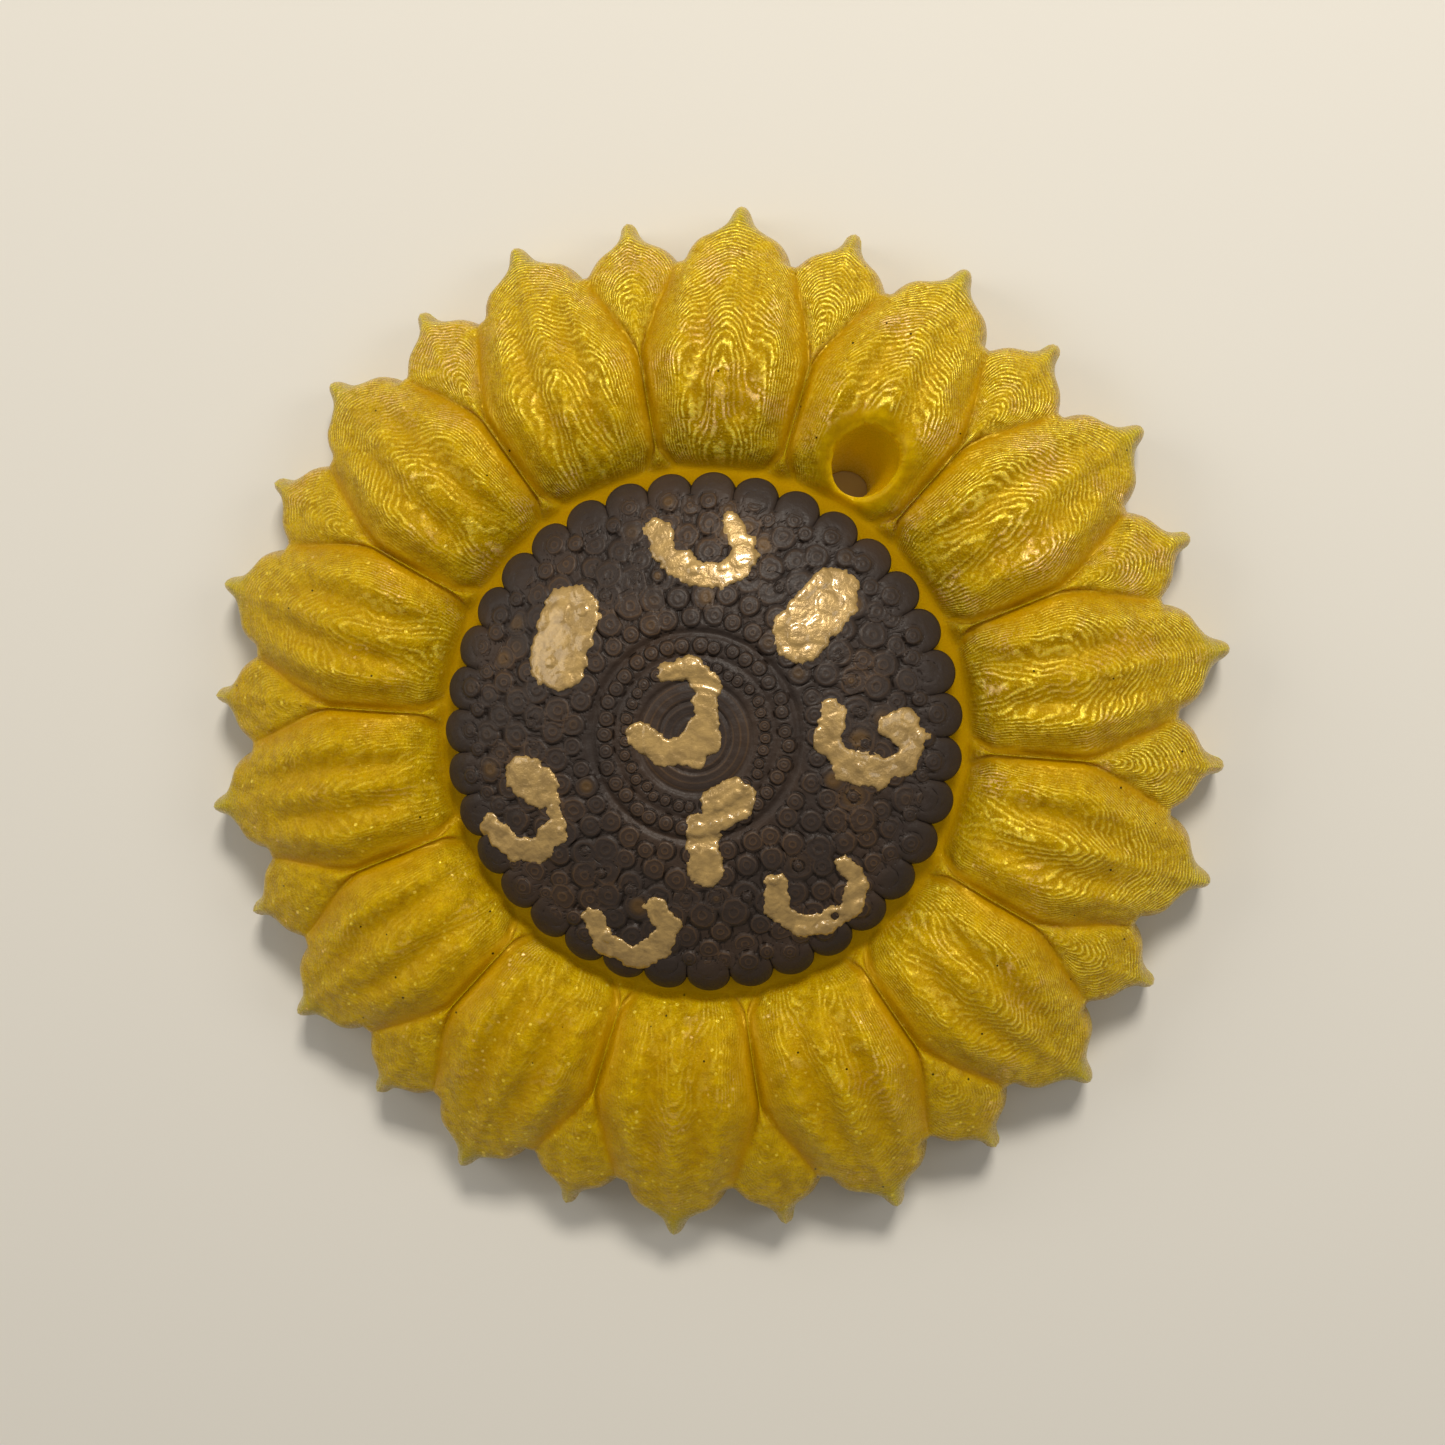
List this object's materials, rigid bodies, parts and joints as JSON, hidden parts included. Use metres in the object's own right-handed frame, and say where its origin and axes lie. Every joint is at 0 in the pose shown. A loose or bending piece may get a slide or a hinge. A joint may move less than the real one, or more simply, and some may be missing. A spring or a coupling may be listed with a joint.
{
  "type": "moulded sunflower ornament",
  "caption": "Translucent golden moulded sunflower ornament: layered pointed petals round a domed, bumpy dark seed disc with painted spots, a flat back and a hanging hole.",
  "frame": {"origin": "middle of the flat back", "axes": "+Z out of the face, +Y towards the petals that hang uppermost, +X to the right as seen from the face"},
  "size_m": [0.0938, 0.0948, 0.0168],
  "materials": {
    "golden_casting": "glossy, translucent, with mica",
    "brown_paint": "satin paint",
    "gold_paint": "glossy gold craft paint, puddled"
  },
  "bodies": {
    "root": {"petal_casting": "golden_casting", "seed_disc": "brown_paint"}
  },
  "joints": []
}
